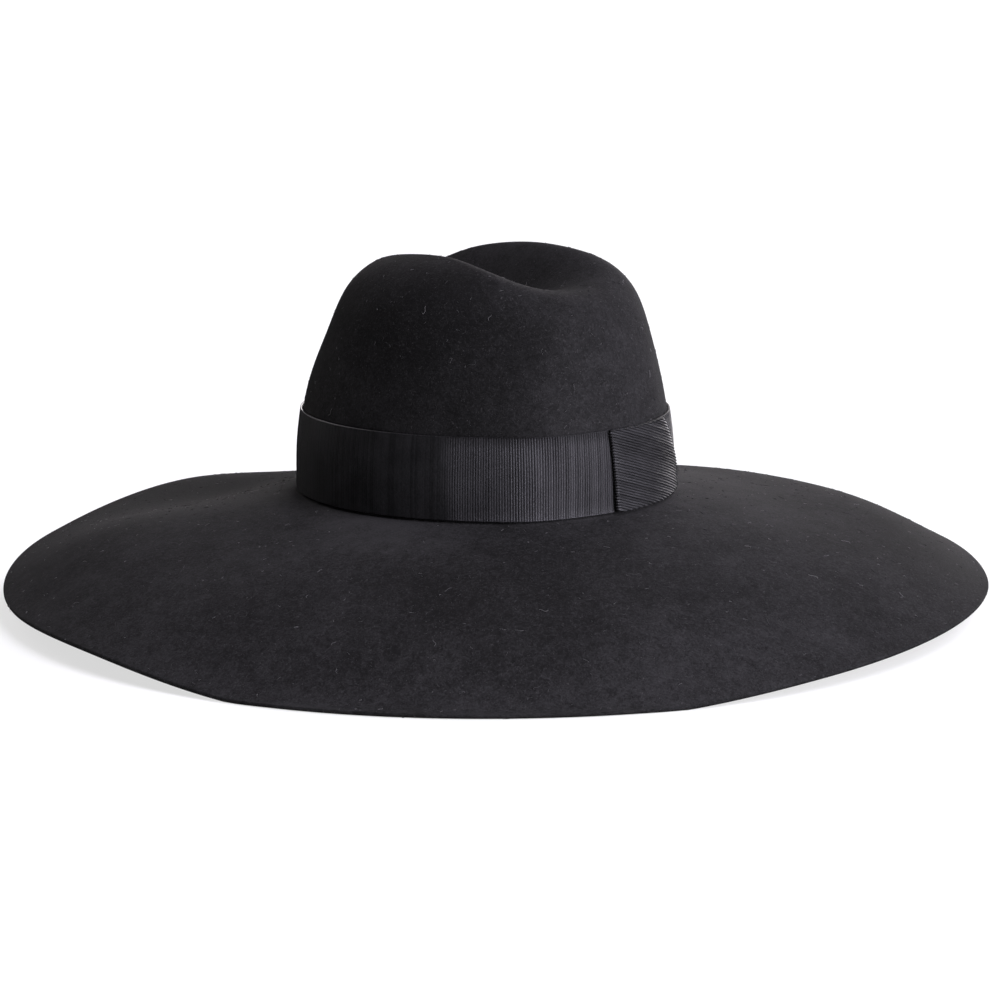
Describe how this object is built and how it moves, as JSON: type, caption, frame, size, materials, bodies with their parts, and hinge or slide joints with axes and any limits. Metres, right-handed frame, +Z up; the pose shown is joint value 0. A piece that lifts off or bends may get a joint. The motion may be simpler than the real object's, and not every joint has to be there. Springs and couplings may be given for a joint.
{
  "type": "wide-brim felt hat",
  "caption": "Black felt hat with a creased crown, a wide softly waved brim, and a ribbed ribbon band whose join lies under a folded wrap.",
  "frame": {"origin": "middle of the plan, on the surface that the brim rests on", "axes": "+Z up out of the crown, -Y to the front, +X to the wearer's left"},
  "size_m": [0.4885, 0.4905, 0.1778],
  "materials": {
    "felt": "black wool felt with a short soft nap, fine mottling and a little lint",
    "ribbon": "black ribbed ribbon with a dull sheen"
  },
  "bodies": {
    "root": {"felt_body": "felt", "ribbon_band": "ribbon", "ribbon_wrap": "ribbon"}
  },
  "joints": []
}
